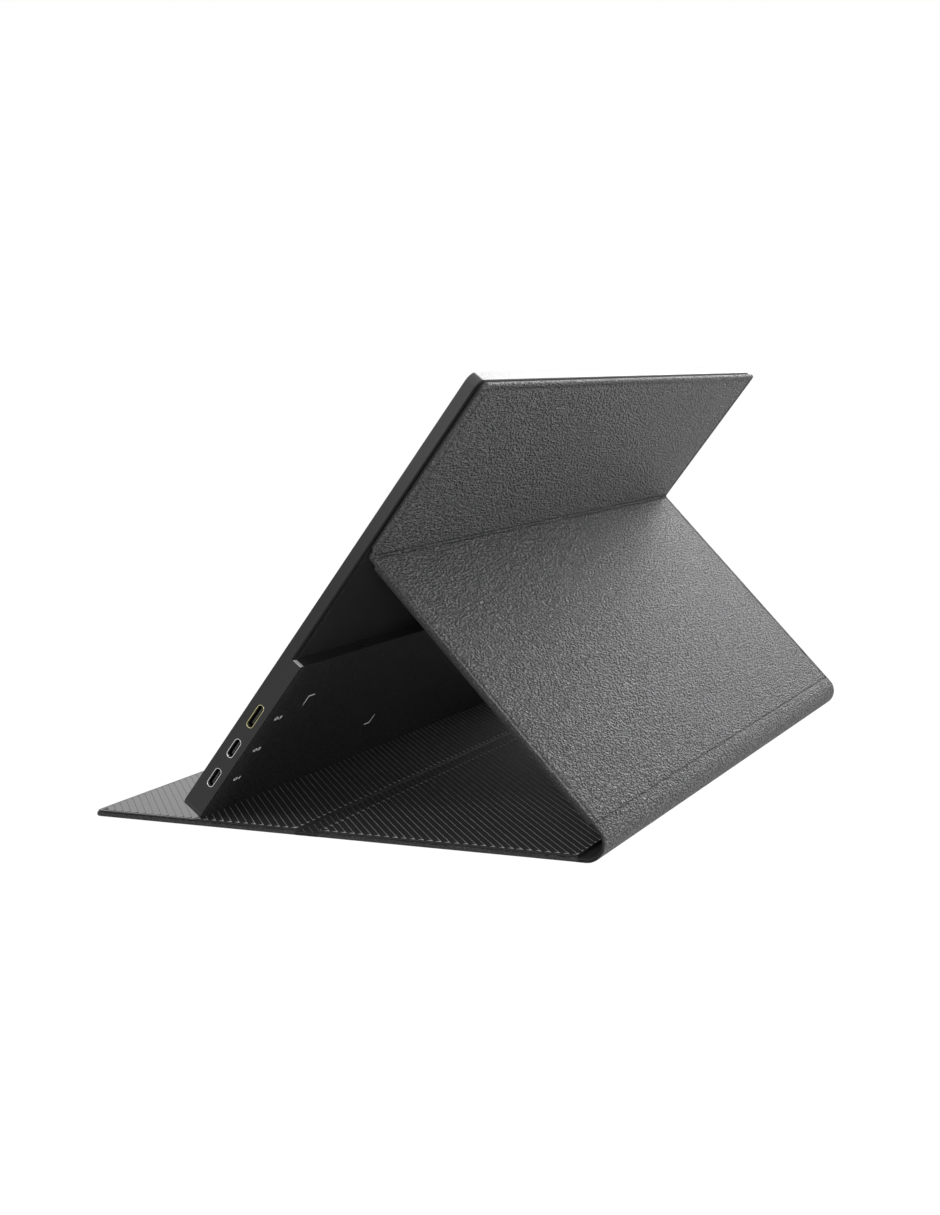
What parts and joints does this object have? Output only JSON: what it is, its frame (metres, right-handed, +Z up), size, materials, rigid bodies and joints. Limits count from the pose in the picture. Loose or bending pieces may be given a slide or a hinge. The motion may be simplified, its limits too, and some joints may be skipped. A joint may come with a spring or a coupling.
{
  "type": "portable monitor with folding cover",
  "caption": "Thin portable monitor leaning in a folding leather cover that stands behind it as a tent; sockets on one edge, keys on the other.",
  "frame": {"origin": "on the table under the centre of the footprint, with the cover standing as a tent", "axes": "+X along the width towards the sockets, +Y towards the rear of the cover, +Z up; the screen faces -Y and up"},
  "size_m": [0.358, 0.2361, 0.1867],
  "materials": {
    "cover_leather": "pebbled grey leather, matt",
    "ribbed_lining": "diagonal ribs, satin black",
    "cover_board": "stiff pressed board",
    "magnet": "nickel plated",
    "grey_frame": "fine matt dark grey",
    "front_glass": "polished",
    "black_tape": "matt black",
    "screen_cell": "polished dark panel",
    "white_film": "white film",
    "sheet_steel": "bright sheet metal",
    "gloss_black": "polished black",
    "matte_black": "fine matt black",
    "circuit_board": "green solder mask",
    "flat_cable": "amber film",
    "socket_metal": "dark stamped shell",
    "bright_ring": "bright edge",
    "gold_ring": "pale gilt edge",
    "socket_tongue": "grey moulded"
  },
  "bodies": {
    "base_rear": {"base_rear_skin": "cover_leather", "base_rear_board": "cover_board", "base_rear_lining": "ribbed_lining", "spine_skin_lower": "cover_leather", "spine_lining_lower": "ribbed_lining"},
    "base_front": {"base_front_skin": "cover_leather", "base_front_board": "cover_board", "base_front_lining": "ribbed_lining"},
    "middle": {"middle_skin": "cover_leather", "middle_board": "cover_board", "middle_lining": "ribbed_lining", "spine_skin_upper": "cover_leather", "spine_lining_upper": "ribbed_lining"},
    "top": {"top_skin": "cover_leather", "top_board": "cover_board", "top_lining": "ribbed_lining", "top_magnets": "magnet", "fold_skin": "cover_leather", "fold_lining": "ribbed_lining"},
    "monitor": {"side_frame": "grey_frame", "front_glass": "front_glass", "glass_tape": "black_tape", "lcd_cell": "screen_cell", "optical_films": "white_film", "light_guide": "white_film", "led_strip": "white_film", "reflector_sheet": "white_film", "panel_tray": "sheet_steel", "foam_pads": "black_tape", "steel_plates": "sheet_steel", "rear_plate": "gloss_black", "rear_block_cover": "matte_black", "main_board": "circuit_board", "board_chips": "black_tape", "board_screws": "sheet_steel", "panel_cable": "flat_cable", "usb_c_socket_1": "socket_metal", "usb_c_socket_2": "socket_metal", "usb_c_tongues": "socket_tongue", "usb_c_rings": "bright_ring", "mini_hdmi_socket": "socket_metal", "hdmi_tongue": "socket_tongue", "hdmi_ring": "gold_ring", "headphone_jack": "black_tape", "button_board": "circuit_board", "button_switches": "black_tape", "button_cable": "flat_cable"},
    "power_key": {"power_button": "grey_frame"},
    "menu_key": {"menu_key": "grey_frame"}
  },
  "joints": [
    {"name": "base_fold", "type": "hinge", "parent": "base_rear", "child": "base_front", "pos_m": [0, -0.01265, 0], "axis": [1, 0, 0], "range_deg": [0, 175]},
    {"name": "spine_open", "type": "hinge", "parent": "base_rear", "child": "middle", "pos_m": [0, 0.11738, 0.00487], "axis": [-1, 0, 0], "range_deg": [0, 132.9]},
    {"name": "top_fold", "type": "hinge", "parent": "middle", "child": "top", "pos_m": [0, 0.02258, 0.11189], "axis": [1, 0, 0], "range_deg": [0, 80.5]},
    {"name": "monitor_pull_off", "type": "slide", "parent": "top", "child": "monitor", "axis": [0, -0.788, 0.6157], "range_m": [0, 0.06]},
    {"name": "power_press", "type": "slide", "parent": "monitor", "child": "power_key", "axis": [1, 0, 0], "range_m": [0, 0.0006], "stiffness_N_per_m": 1500},
    {"name": "menu_press", "type": "slide", "parent": "monitor", "child": "menu_key", "axis": [1, 0, 0], "range_m": [0, 0.0006], "stiffness_N_per_m": 1500}
  ],
  "couplings": [
    {"joint": "top_fold", "follows": "spine_open", "ratio": 0.602}
  ]
}
